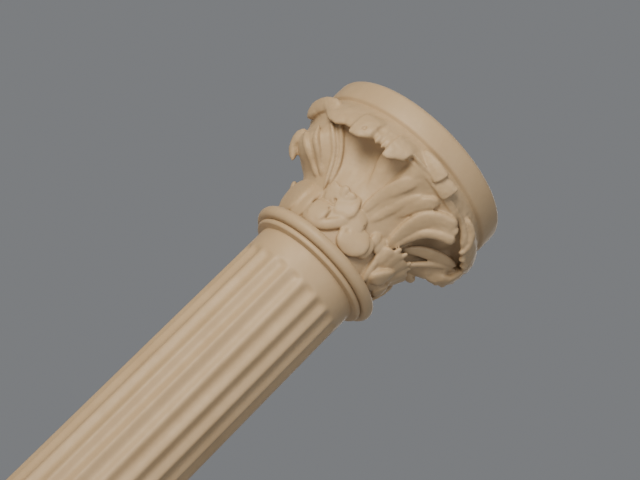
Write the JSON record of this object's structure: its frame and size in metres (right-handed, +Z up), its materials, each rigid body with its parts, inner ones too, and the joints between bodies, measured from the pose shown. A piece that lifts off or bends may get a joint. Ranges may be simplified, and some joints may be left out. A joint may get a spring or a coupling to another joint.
{
  "type": "corinthian pedestal column",
  "caption": "Small decorative column with a round moulded base, fluted shaft, ring, leafy capital and round flat top; stands upright to carry or show something.",
  "frame": {"origin": "centre of the base's flat underside, on the column's axis", "axes": "+Z up along the column's axis; -Y faces the side that the picture shows"},
  "size_m": [0.098, 0.098, 0.3],
  "materials": {
    "cast_resin": "satin"
  },
  "bodies": {
    "root": {"column": "cast_resin"}
  },
  "joints": []
}
